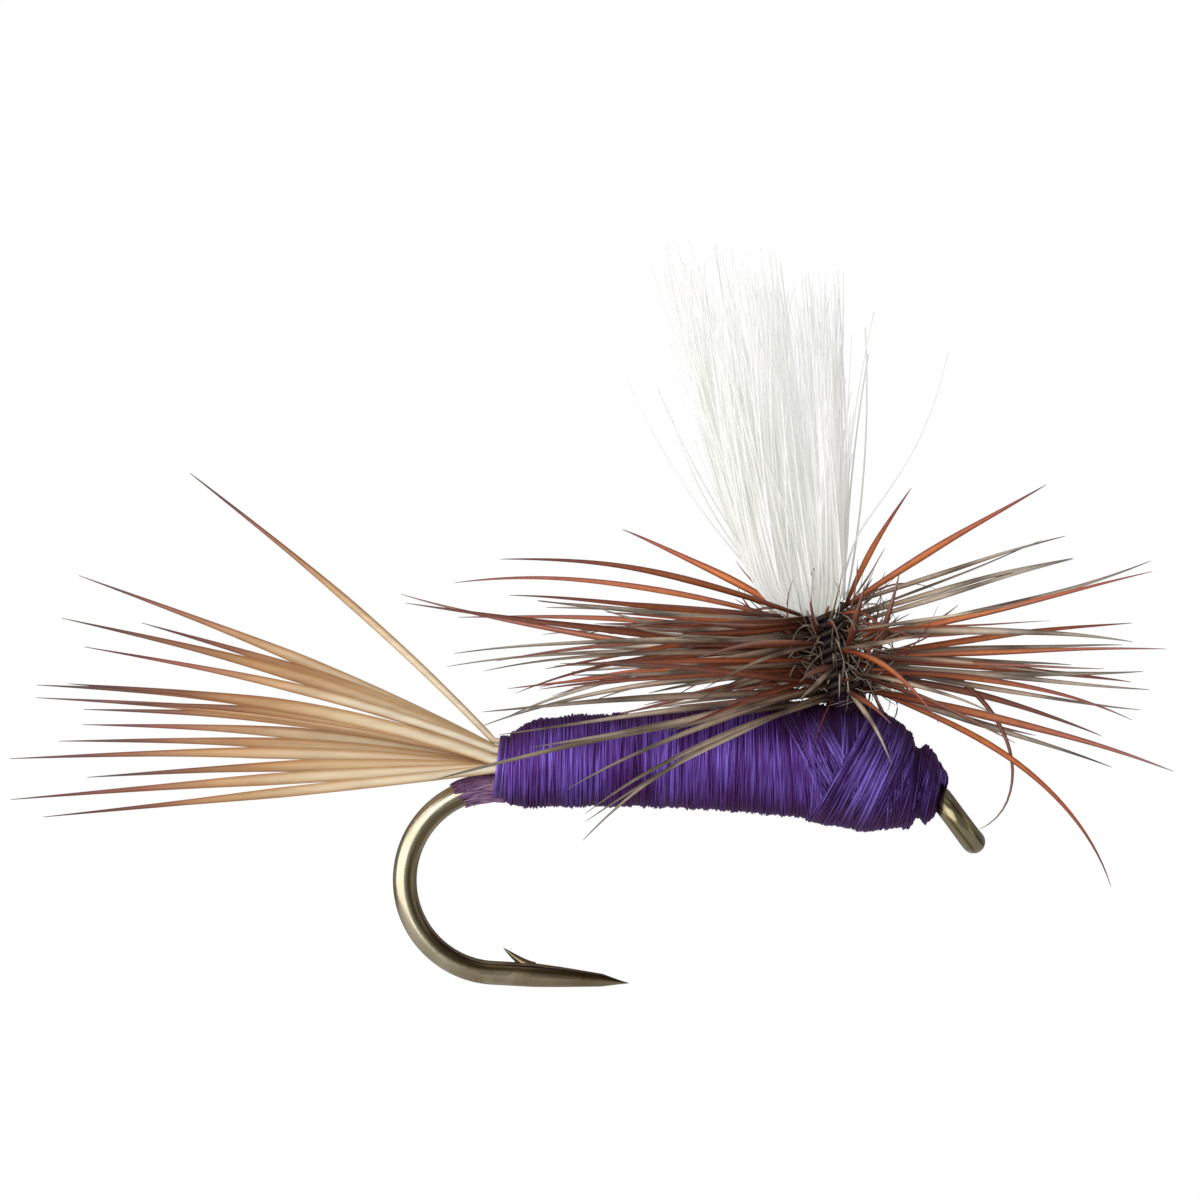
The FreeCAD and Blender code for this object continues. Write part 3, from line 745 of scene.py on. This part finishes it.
# How high a fibre arches, by how steeply it rises in degrees.
TAIL_ARCH = ((-7, 0.02), (-3, 0.18), (2, 0.20), (7, 0.34), (18, 0.22), (40, 0.20))
STEEP = 30
TAIL_COUNT = 16


def tail_fibres():
    """One stiff, slightly arched fibre for each CAD fibre."""
    r = np.random.default_rng(41)
    k = 44
    t = np.linspace(0, 1, k)
    knee_x = corners("tail_binding")[0][0] - 0.03
    paths, radii, flats = [], [], []
    for number in range(1, TAIL_COUNT + 1):
        butt, tip = fibre_ends(number)
        root = np.array([knee_x, butt[1], butt[2]])
        rise = math.degrees(math.atan2(tip[2] - root[2], root[0] - tip[0]))
        arch = np.interp(rise, *zip(*TAIL_ARCH)) + r.normal() * 0.03
        line = root + t[:, None] * (tip - root)
        line[:, 2] += arch * np.sin(math.pi * t ** 0.85)
        line[:, 1] += 0.1 * r.normal() * np.sin(math.pi * t)
        inner = np.array([root + [0.35, 0, 0], root + [0.15, 0, 0]])
        paths.append(np.concatenate([inner, line]))
        full = 0.074 if rise > STEEP else r.uniform(0.095, 0.138)
        swell = 0.82 + 0.18 * np.sin(math.pi * np.clip(t / 0.7, 0, 1))
        taper = np.clip((1 - t) / 0.52, 0, 1) ** (0.75 if rise > STEEP else 1.0)
        radii.append(np.concatenate([[full * 0.8, full * 0.82], full * swell * taper + 0.006]))
        flats.append(0.8 if rise > STEEP else r.uniform(0.5, 0.66))
    n = len(paths)
    return sweep("tail_fibres", np.array(paths), np.array(radii), sides=12, flat=np.array(flats),
                 facing=(0.0, 1.0, 0.0), twist=r.normal(size=n) * 0.25, shade=r.random(n),
                 along=np.broadcast_to(np.concatenate([[0, 0], t]), (n, k + 2)))


finish_piece(tail_fibres(), TAIL, "tail_fibre", *["tail_fibre_%02d" % (i + 1) for i in range(TAIL_COUNT)])

# ------------------------------------------------------------------ wing post, wraps and hair

wrap_low, wrap_high = corners("post_wraps")
LEAN = math.radians(16.6)
POST = np.array([-math.sin(LEAN), 0.0, math.cos(LEAN)])
POST_SIDE = np.array([math.cos(LEAN), 0.0, math.sin(LEAN)])
ACROSS = np.array([0.0, 1.0, 0.0])
POST_R = 0.36
WRAP_R = 0.40
POST_TOP_X = wrap_low[0] + WRAP_R * math.cos(LEAN)
POST_TOP = np.array([POST_TOP_X, 0.0, wrap_high[2] - WRAP_R * math.sin(LEAN)])
WRAP_LENGTH = (wrap_high[2] - wrap_low[2] - 2 * WRAP_R * math.sin(LEAN)) / math.cos(LEAN)


def round_post(height, around, radius):
    """A point round the post, at a height above the foot of its wraps."""
    height, around = np.broadcast_arrays(height, around)
    outward = np.cos(around)[..., None] * POST_SIDE + np.sin(around)[..., None] * ACROSS
    centre = POST_TOP + (height - WRAP_LENGTH)[..., None] * POST
    return centre + np.asarray(radius)[..., None] * outward, outward


def post_wrap_turns():
    """Thread round the foot of the wing, darkened by painted shade under the hackle. The top turns are the
    brightest.
    """
    n, steps = 46, 48
    around = np.linspace(0, TURN, steps + 1)[:-1][None]
    height = np.linspace(-0.1, WRAP_LENGTH - 0.26, n)[:, None] + 0.02 * np.sin(around + np.arange(n)[:, None])
    paths, outward = round_post(height, around + 0 * height, np.full((n, steps), WRAP_R - 0.01))
    # A side of 0.5 gives the wraps much of the thread's painted shade.
    return sweep("post_wrap_turns", paths, np.full((n, steps), 0.03), sides=5, facing=outward, closed=True,
                 shade=np.where(np.arange(n) > n - 6, 1.0, 0.45 * rng.random(n)),
                 side=np.full((n, steps), 0.5))


def post_core():
    """The bound clump of hair inside the wraps."""
    t = np.linspace(0, 1, 14)
    path = POST_TOP + ((t - 1) * 3.1 + 0.05)[:, None] * POST
    return sweep("post_core", path[None], np.full((1, 14), POST_R - 0.03), sides=24, facing=POST_SIDE,
                 shade=np.zeros(1), along=along_for(1, 14))


finish_piece(post_wrap_turns(), SHADED_WRAPS, "tying_thread", "post_wraps")
finish_piece(post_core(), HAIR, "wing_hair", "wing_post")


# Stray hairs: lean back, fan to the side and length, then how much each bends.
STRAYS = [
    ((39, 6, 5.7), 0.16), ((34, -10, 5.3), 0.12), ((30, 4, 5.2), 0.20), ((27, 12, 5.9), 0.10),
    ((22, -8, 6.9), 0.14), ((36, -4, 4.6), 0.20), ((-4.5, 6, 5.7), -0.10), ((-2.5, -8, 6.0), 0.10),
    ((-3.6, 12, 5.2), 0.06), ((18, -14, 7.2), 0.16),
]
# One stray has kinks in it, at these places from its root.
KINKED = np.array([
    (0, 0, 0), (0.28, -0.1, 1.1), (0.45, -0.2, 1.55), (1.0, -0.35, 2.35), (1.50, -0.45, 3.2),
    (1.85, -0.5, 4.1), (2.10, -0.5, 5.1),
])


def wing():
    """Fine hair in locks that flares as soon as it leaves the post, then runs almost straight."""
    r = np.random.default_rng(51)
    n, k = 720, 22
    t = np.linspace(0, 1, k)[None, :]
    locks = 40
    lock_forward = np.linspace(-1.0, 1.0, locks) + 0.06 * r.normal(size=locks)
    lock_side = r.uniform(-1, 1, locks) * np.sqrt(np.clip(1.05 - lock_forward ** 2, 0.05, 1))
    lock_height = r.uniform(6.2, 7.75, locks) - 0.5 * np.clip(lock_forward - 0.3, 0, 1)
    lock_lean = r.normal(size=locks) * 0.16
    mine = r.integers(0, locks, n)
    root_forward = np.clip(lock_forward[mine] + 0.22 * r.normal(size=n), -1.05, 1.05)[:, None]
    root_side = np.clip(lock_side[mine] + 0.30 * r.normal(size=n), -1, 1)[:, None]
    tip_forward = (lock_forward[mine] + 0.08 * r.normal(size=n))[:, None]
    tip_side = (lock_side[mine] + 0.12 * r.normal(size=n))[:, None]
    forward = root_forward + (tip_forward - root_forward) * t
    sideways = root_side + (tip_side - root_side) * t
    height = (lock_height[mine] * (1 - 0.5 * r.random(n) ** 1.3))[:, None]
    share = np.clip(t * height / 7.15, 0.0001, 1.1)
    foot = POST_TOP - 0.30 * POST - 0.24 * POST_SIDE
    reach_x = np.interp(forward, [-1, -0.5, 0, 0.5, 1], [-2.45, -1.72, -1.05, -0.55, -0.20])
    power = np.interp(forward, [-1, 0, 1], [0.66, 0.76, 1.0])
    x = foot[0] + forward * (0.36 + 0.22 * np.clip(share * 10, 0, 1)) + reach_x * share ** power
    y = foot[1] + sideways * (0.34 + 0.18 * np.clip(share * 10, 0, 1) + 0.95 * share ** 0.85)
    z = foot[2] + height * t
    x = x + lock_lean[mine][:, None] * t ** 1.5 + 0.05 * r.normal(size=(n, 1)) * np.sin(t * 5) * t
    x = x + r.normal(size=(n, 1)) * 0.07 * t + r.normal(size=(n, 1)) * 0.10 * t ** 4
    y = y + r.normal(size=(n, 1)) * 0.10 * t
    radius = (0.021 * (1 - 0.62 * t ** 2.2)) * r.uniform(0.7, 1.35, (n, 1))
    clump = sweep("wing_clump", np.stack([x, y, z], -1), radius, sides=5, facing=(0.1, 1.0, 0.0),
                  shade=np.clip(0.5 + 0.3 * r.normal(size=n), 0, 1), along=along_for(n, k))

    k = 24
    t = np.linspace(0, 1, k)
    paths = []
    for (lean, spread, length), bend in STRAYS:
        angle = np.radians(lean) - bend * 2.5 * (t - 0.4)
        steps = np.stack([-np.sin(angle), np.full(k, math.sin(math.radians(spread))), np.cos(angle)], -1)
        start = POST_TOP - 0.1 * POST + np.array([-0.62 if lean > 0 else 0.45, 0.0, 0.0])
        paths.append(start + np.cumsum(steps, 0) * length / k)
    s = np.linspace(0, len(KINKED) - 1, k)
    bent = np.stack([np.interp(s, range(len(KINKED)), KINKED[:, i]) for i in range(3)], -1)
    for _ in range(2):
        bent[1:-1] = (bent[:-2] + bent[1:-1] * 2 + bent[2:]) / 4
    paths.append(POST_TOP + np.array([0.3, -0.1, 0.0]) + bent)
    n = len(paths)
    loose = sweep("wing_strays", np.array(paths), (0.024 - 0.010 * t)[None] + np.zeros((n, 1)), sides=5,
                  facing=(0, 1, 0), shade=np.zeros(n), along=along_for(n, k))
    return join("wing_hair_free", [clump, loose])


finish_piece(wing(), HAIR, "wing_hair", "wing_hair")

# ------------------------------------------------------------------ hackle

# The two stems: half thickness, distance from the post's axis, rise in one turn, turns, and how
# far up the wraps they begin.
QUILL_R = 0.07
WIND_R = WRAP_R + QUILL_R
PITCH = 0.34
TURNS = 5.0
FIRST = 0.42


def quill(name, phase, seed):
    """A feather's stem wound up the post, starting at phase degrees."""
    r = np.random.default_rng(seed)
    k = 300
    turn = np.linspace(-0.15, TURNS + 0.1, k)
    around = np.radians(phase) + TURN * turn
    wobble = 0.015 * np.sin(turn * 5.3 + seed) + 0.01 * r.normal()
    path, outward = round_post(FIRST + PITCH * turn + wobble, around, np.full(k, WIND_R))
    radius = QUILL_R * (0.80 + 0.25 * np.linspace(1, 0, k))
    return sweep(name, path[None], radius[None], sides=10, flat=0.8, facing=outward[None],
                 shade=np.full(1, 0.4), along=along_for(1, k))


def barb_paths(barbs, k=28):
    """barbs: rows of azimuth, elevation, length, bend, where the bend comes in, place up the quill."""
    barbs = np.asarray(barbs, float)
    t = np.linspace(0, 1, k)[None]
    az, el, length, bend, power, place = [c[:, None] for c in barbs.T]
    azimuth = np.radians(az) + 0 * t
    elevation = np.radians(el + bend * t ** power)
    level = np.cos(elevation)
    step = np.stack([level * np.cos(azimuth), level * np.sin(azimuth), np.sin(elevation)], -1)
    out = np.full(len(barbs), WIND_R + 0.02)
    root, _ = round_post(FIRST + PITCH * TURNS * place[:, 0], np.radians(az[:, 0]), out)
    travel = np.cumsum(step, 1) - step[:, :1]
    return root[:, None] + travel * (length / (k - 1))[..., None]


def barb_mesh(name, barbs, width, seed, k=28, turned=1.2, flat=(0.3, 0.5), start=0.0):
    """Barbs from rows of six numbers, or seven where the last is the tone, 0 bright to 1 dark.

    start is how far along the barb's colours its root begins.
    """
    r = np.random.default_rng(seed)
    barbs = np.asarray(barbs, float)
    tones = barbs[:, 6] if barbs.shape[1] > 6 else r.random(len(barbs))
    paths = barb_paths(barbs[:, :6], k)
    n = len(paths)
    t = np.linspace(0, 1, k)[None]
    width = width * r.uniform(0.8, 1.2, (n, 1))
    swell = 0.5 + 0.5 * np.sin(math.pi * np.clip(t / 0.62, 0, 1) * 0.62)
    radius = width * swell * np.clip((1 - t) / 0.6, 0, 1) ** 0.8 + 0.005
    ripple = 0.015 * np.sin(t * 9 + r.uniform(*ANY_PHASE, (n, 1)))[..., None]
    paths = paths + ripple * np.array([0.0, 0.5, 1.0]) * t[..., None]
    return sweep(name, paths, radius, sides=8, flat=r.uniform(*flat, n), facing=(0.0, 0.0, 1.0),
                 twist=math.pi / 2 + r.uniform(-turned, turned, n), shade=tones,
                 along=start + (1 - start) * t)


# Turning by this many radians each time spreads barbs evenly round the post.
GOLDEN_TURN = 2.399963


def random_barbs(count, seed, sector):
    """Barbs on both sides of the post, within sector degrees of straight sideways."""
    r = np.random.default_rng(seed)
    place = (np.arange(count) + 0.5) / count
    az = (np.degrees(GOLDEN_TURN * np.arange(count)) + 180) % 360 - 180
    front = (1 + np.cos(np.radians(az))) / 2
    low = -3 - 14 * front ** 3
    high = 1 + 21 * front ** 2
    el = low * (1 - place) + high * place + r.normal(size=count) * 2.5
    length = 6.2 * front + 8.0 * (1 - front) + r.normal(size=count) * 0.35
    bend = -4 + r.normal(size=count) * 7
    rows = np.stack([az, el, length, bend, np.full(count, 1.4), place], -1)
    return rows[np.abs(np.abs(az) - 90) < sector]


def back_barbs(count, seed):
    """The dense mat of shorter barbs swept back over the body."""
    r = np.random.default_rng(seed)
    place = r.uniform(0.25, 1.0, count)
    az = r.choice([-1, 1], count) * r.uniform(115, 165, count)
    el = -10 + 6 * place + r.normal(size=count) * 2.5
    return np.stack([az, el, r.uniform(2.2, 5.0, count), r.normal(size=count) * 9, np.full(count, 1.3), place,
                     r.uniform(0.5, 1.0, count)], -1)


def fan(seed, count, azimuth, elevation, length, bend, place, tone, sides=(-1, 1)):
    """Long barbs that stand out. Each pair is walked from the first barb to the last, with some scatter."""
    r = np.random.default_rng(seed)
    t = np.linspace(0, 1, count)

    def walk(ends, scatter):
        return ends[0] + (ends[1] - ends[0]) * t + scatter * r.normal(size=count)

    side = np.resize(sides, count)
    return np.stack([side * walk(azimuth, 4), walk(elevation, 3.2), walk(length, 0.5), walk(bend, 9),
                     np.full(count, 1.4), np.clip(walk(place, 0.08), 0, 1),
                     np.clip(walk(tone, 0.25), 0, 1)], -1)


# Single barbs near the picture's plane: azimuth, elevation, length, bend, where the bend comes in,
# place up the quill, tone. Two rise from the post backward, two forward, and one hangs past the eye.
BROWN_SINGLES = [
    (170, 30, 4.0, -10, 1, 1, 0),
    (170, 60, 1.5, 0, 1, 1, 0),
    (0, 70, 2.7, -15, 1, 1, 0),
    (-10, 35, 4.7, -5, 1, 1, 0),
    (-10, -20, 6.5, -50, 2, 0, 0),
]
BOLD_BROWN = np.concatenate([
    BROWN_SINGLES,
    fan(91, 6, (135, 150), (15, 0), (8.5, 9.0), (-20, 0), (1, 0.5), (0, 0.5)),
    fan(92, 7, (135, 160), (5, -10), (8.5, 6.0), (-15, 0), (0, 1), (1, 0.5)),
    fan(93, 5, (150, 175), (5, -10), (4.0, 5.5), (-10, 5), (1, 0.5), (1, 0.5)),
    fan(94, 7, (10, 40), (15, -5), (6.0, 7.0), (0, -10), (0.5, 0), (0, 0.5)),
])
BOLD_GRIZZLY = np.concatenate([
    fan(95, 9, (135, 150), (5, -5), (7.5, 9.0), (0, -15), (1, 0), (0, 0.5)),
    fan(96, 6, (150, 125), (-8, -12), (7.0, 8.0), (-5, -15), (0, 0), (0, 0.5), sides=(-1,)),
    fan(97, 6, (175, 140), (5, -10), (5.5, 4.5), (-5, 5), (0.5, 1), (0.5, 0)),
    fan(98, 10, (0, 30), (22, -12), (4.5, 6.5), (0, 0), (1, 0), (0, 0.5)),
])


# Which way the curled barb points, in degrees, at places along it.
CURL = ((0, 14), (0.28, 8), (0.36, -34), (0.5, -50), (0.62, -64), (0.74, -84), (0.86, -108), (1, -150))


def curled_barb():
    """One dark barb that curls down and back in front of the head."""
    k = 28
    t = np.linspace(0, 1, k)
    turn = np.radians(np.interp(t, *zip(*CURL)))
    step = np.stack([np.cos(turn), -0.12 + 0 * t, np.sin(turn)], -1)
    root, _ = round_post(np.array([FIRST + 0.05]), np.array([-0.15]), np.array([WIND_R + 0.02]))
    path = root + (np.cumsum(step, 0) - step[0]) * 5.65 / k
    width = 0.055 * np.clip((1 - t) / 0.7, 0, 1) ** 0.8 + 0.005
    return sweep("brown_curled", path[None], width[None], sides=8, flat=0.6, facing=(0.0, 1.0, 0.0),
                 shade=np.full(1, 0.9), along=along_for(1, k))


def fluff(seed, count, height, reach_mm, curl, tones):
    """Short curled barbs at the roots, of the tones given."""
    r = np.random.default_rng(seed)
    az = r.uniform(0, 360, count)
    return np.stack([az, r.normal(size=count) * 28 + 8, r.uniform(0.3, 1.0, count) * reach_mm,
                     r.normal(size=count) * curl, np.full(count, 1.2), r.uniform(*height, count),
                     r.uniform(*tones, count)], -1)


BROWN_UPRIGHT = [
    (-40, 66, 2.5, 8, 1.0, 0.0, 1.0),
    (-70, 52, 1.8, 10, 1.0, 0.4, 0.9),
]
brown = [
    barb_mesh("brown_many", random_barbs(44, 61, 52), 0.056, 62),
    barb_mesh("brown_bold", BOLD_BROWN, 0.076, 63, turned=0.6, flat=(0.5, 0.7)),
    barb_mesh("brown_back", back_barbs(24, 64), 0.070, 67, turned=0.8, flat=(0.5, 0.7)),
    barb_mesh("brown_short", fluff(65, 54, (0.0, 1.0), 2.4, 40, (0.5, 1.0)), 0.036, 66, k=14),
    barb_mesh("brown_upright", BROWN_UPRIGHT, 0.085, 68, turned=0.3, flat=(0.6, 0.8)),
    curled_barb(),
]
brown_nodes = ["brown_barbs_turn_%d" % i for i in range(1, 6)]
finish_piece(join("brown_hackle", brown), BROWN, "brown_hackle", *brown_nodes)
grizzly = [
    barb_mesh("grizzly_many", random_barbs(44, 71, 52), 0.052, 72),
    barb_mesh("grizzly_bold", BOLD_GRIZZLY, 0.070, 73, turned=0.6, flat=(0.5, 0.7)),
    barb_mesh("grizzly_back", back_barbs(14, 76), 0.064, 77, turned=0.8, flat=(0.5, 0.7)),
    barb_mesh("grizzly_fluff", fluff(74, 220, (0.0, 1.0), 1.5, 80, (0.0, 0.3)), 0.017, 75, k=14, start=0.45),
]
grizzly_nodes = ["grizzly_barbs_turn_%d" % i for i in range(1, 6)]
finish_piece(join("grizzly_hackle", grizzly), GRIZZLY, "grizzly_hackle", *grizzly_nodes)
finish_piece(quill("brown_quill", 0, 81), QUILL, "quill", "brown_hackle_stem")
finish_piece(quill("grizzly_quill", 180, 82), QUILL, "quill", "grizzly_hackle_stem")

# ------------------------------------------------------------------ stage, light and camera

scene = bpy.context.scene
scene.view_settings.view_transform = "Standard"
scene.view_settings.look = "None"

low, high = [np.array(c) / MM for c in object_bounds()]

FLOOR_DROP = 12.0
FLOOR_RADIUS = 46
FLOOR_SIDES = 96
floor_at = low[2] - FLOOR_DROP
ring = np.linspace(0, TURN, FLOOR_SIDES + 1)[:-1]
disc = np.stack([(low[0] + high[0]) / 2 + FLOOR_RADIUS * np.cos(ring), FLOOR_RADIUS * np.sin(ring),
                 np.full(FLOOR_SIDES, floor_at)], -1)
floor = make_mesh("floor", disc, [np.arange(FLOOR_SIDES).reshape(1, FLOOR_SIDES)], smooth=False)
paper = Nodes("white_paper")
grain = paper.ramp(paper.noise(60.0), *stops((0.3, 240, 240, 240), (0.7, 247, 247, 247)))
paper.surface(Base_Color=grain, Roughness=0.9)
floor.data.materials.append(paper.material)

world = bpy.data.worlds.new("studio")
scene.world = world
world.use_nodes = True
tree = world.node_tree
background = tree.nodes["Background"]
background.inputs["Color"].default_value = (0.94, 0.90, 0.86, 1)
background.inputs["Strength"].default_value = 0.29
white = tree.nodes.new("ShaderNodeBackground")
white.inputs["Color"].default_value = (1, 1, 1, 1)
white.inputs["Strength"].default_value = 1.0
path = tree.nodes.new("ShaderNodeLightPath")
choose = tree.nodes.new("ShaderNodeMixShader")
tree.links.new(path.outputs["Is Camera Ray"], choose.inputs["Fac"])
tree.links.new(background.outputs["Background"], choose.inputs[1])
tree.links.new(white.outputs["Background"], choose.inputs[2])
tree.links.new(choose.outputs["Shader"], tree.nodes["World Output"].inputs["Surface"])


def area(name, where, aim, size, power):
    """A rectangular lamp, with its place, aim and size in millimetres and its power in watts."""
    data = bpy.data.lights.new(name, "AREA")
    data.shape = "RECTANGLE"
    data.size, data.size_y = size[0] * MM, size[1] * MM
    data.energy = power
    light = bpy.data.objects.new(name, data)
    where, aim = Vector(where) * MM, Vector(aim) * MM
    light.location = where
    light.rotation_euler = (aim - where).to_track_quat("-Z", "Y").to_euler()
    scene.collection.objects.link(light)


middle = ((low + high) / 2).tolist()
area("left_key", (middle[0] - 82, -74, 24), middle, (196, 120), 0.172)
area("right_fill", (middle[0] + 96, -30, 14), middle, (60, 90), 0.010)
area("top_softbox", (middle[0] - 10, 5, 95), middle, (110, 90), 0.016)

camera_data = bpy.data.cameras.new("camera")
camera = bpy.data.objects.new("camera", camera_data)
scene.collection.objects.link(camera)
# A long lens a little above level, rolled to match the shank's slope in the picture.
LENS = 200
SENSOR = 36
PICTURE_WIDTH = 24.0
AIM_BEHIND_EYE = 7.245
AIM_ABOVE_EYE = 4.224
ELEVATION = 1.0
ROLL = 1.4
camera_data.lens = LENS
camera_data.sensor_width = SENSOR
camera_data.clip_start, camera_data.clip_end = 0.005, 5
aim = Vector((eye[0] - AIM_BEHIND_EYE, 0.0, eye[2] + AIM_ABOVE_EYE)) * MM
elevation = math.radians(ELEVATION)
distance = PICTURE_WIDTH * LENS / SENSOR * MM
back = Vector((0, -math.cos(elevation), math.sin(elevation)))
turn = (-back).to_track_quat("-Z", "Y").to_matrix() @ Matrix.Rotation(math.radians(ROLL), 3, "Z")
camera.matrix_world = Matrix.Translation(aim + back * distance) @ turn.to_4x4()
scene.camera = camera
